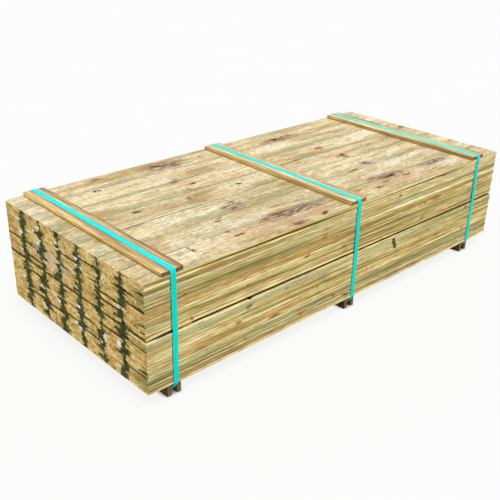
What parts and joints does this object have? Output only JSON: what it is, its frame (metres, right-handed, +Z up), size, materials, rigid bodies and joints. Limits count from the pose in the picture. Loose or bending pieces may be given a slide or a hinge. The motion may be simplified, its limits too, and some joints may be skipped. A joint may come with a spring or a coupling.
{
  "type": "bundle of fence palings",
  "caption": "Strapped bundle of sawn treated-pine fence palings stacked flat in half packs, with battens on top, grooved bearers beneath and teal plastic straps.",
  "frame": {"origin": "on the ground under the middle of the bundle's box", "axes": "+X along the palings, +Y across the bundle to the back, +Z up"},
  "size_m": [2.4, 1.0684, 0.5722],
  "materials": {
    "paling_pine": "rough sawn, treated",
    "batten_board": "rough sawn, weathered",
    "bearer_timber": "rough sawn, dark",
    "spacer_lath": "rough sawn",
    "strap_plastic": "satin, embossed"
  },
  "bodies": {
    "root": {"paling_layer_01": "paling_pine", "paling_layer_02": "paling_pine", "paling_layer_03": "paling_pine", "paling_layer_04": "paling_pine", "paling_layer_05": "paling_pine", "paling_layer_06": "paling_pine", "paling_layer_07": "paling_pine", "paling_layer_08": "paling_pine", "paling_layer_09": "paling_pine", "paling_layer_10": "paling_pine", "paling_layer_11": "paling_pine", "paling_layer_12": "paling_pine", "paling_layer_13": "paling_pine", "paling_layer_14": "paling_pine", "paling_layer_15": "paling_pine", "paling_layer_16": "paling_pine", "paling_layer_17": "paling_pine", "paling_layer_18": "paling_pine", "paling_layer_19": "paling_pine", "paling_layer_20": "paling_pine", "paling_layer_21": "paling_pine", "paling_layer_22": "paling_pine", "paling_layer_23": "paling_pine", "paling_layer_24": "paling_pine", "paling_layer_25": "paling_pine", "paling_layer_26": "paling_pine", "paling_layer_27": "paling_pine", "paling_layer_28": "paling_pine", "paling_layer_29": "paling_pine", "paling_layer_30": "paling_pine", "paling_layer_31": "paling_pine", "paling_layer_32": "paling_pine", "mid_spacer_left": "spacer_lath", "mid_spacer_middle": "spacer_lath", "mid_spacer_right": "spacer_lath", "top_batten_left": "batten_board", "top_batten_middle": "batten_board", "top_batten_right": "batten_board", "bearer_left": "bearer_timber", "bearer_middle": "bearer_timber", "bearer_right": "bearer_timber", "strap_left": "strap_plastic", "strap_middle": "strap_plastic", "strap_right": "strap_plastic"}
  },
  "joints": []
}
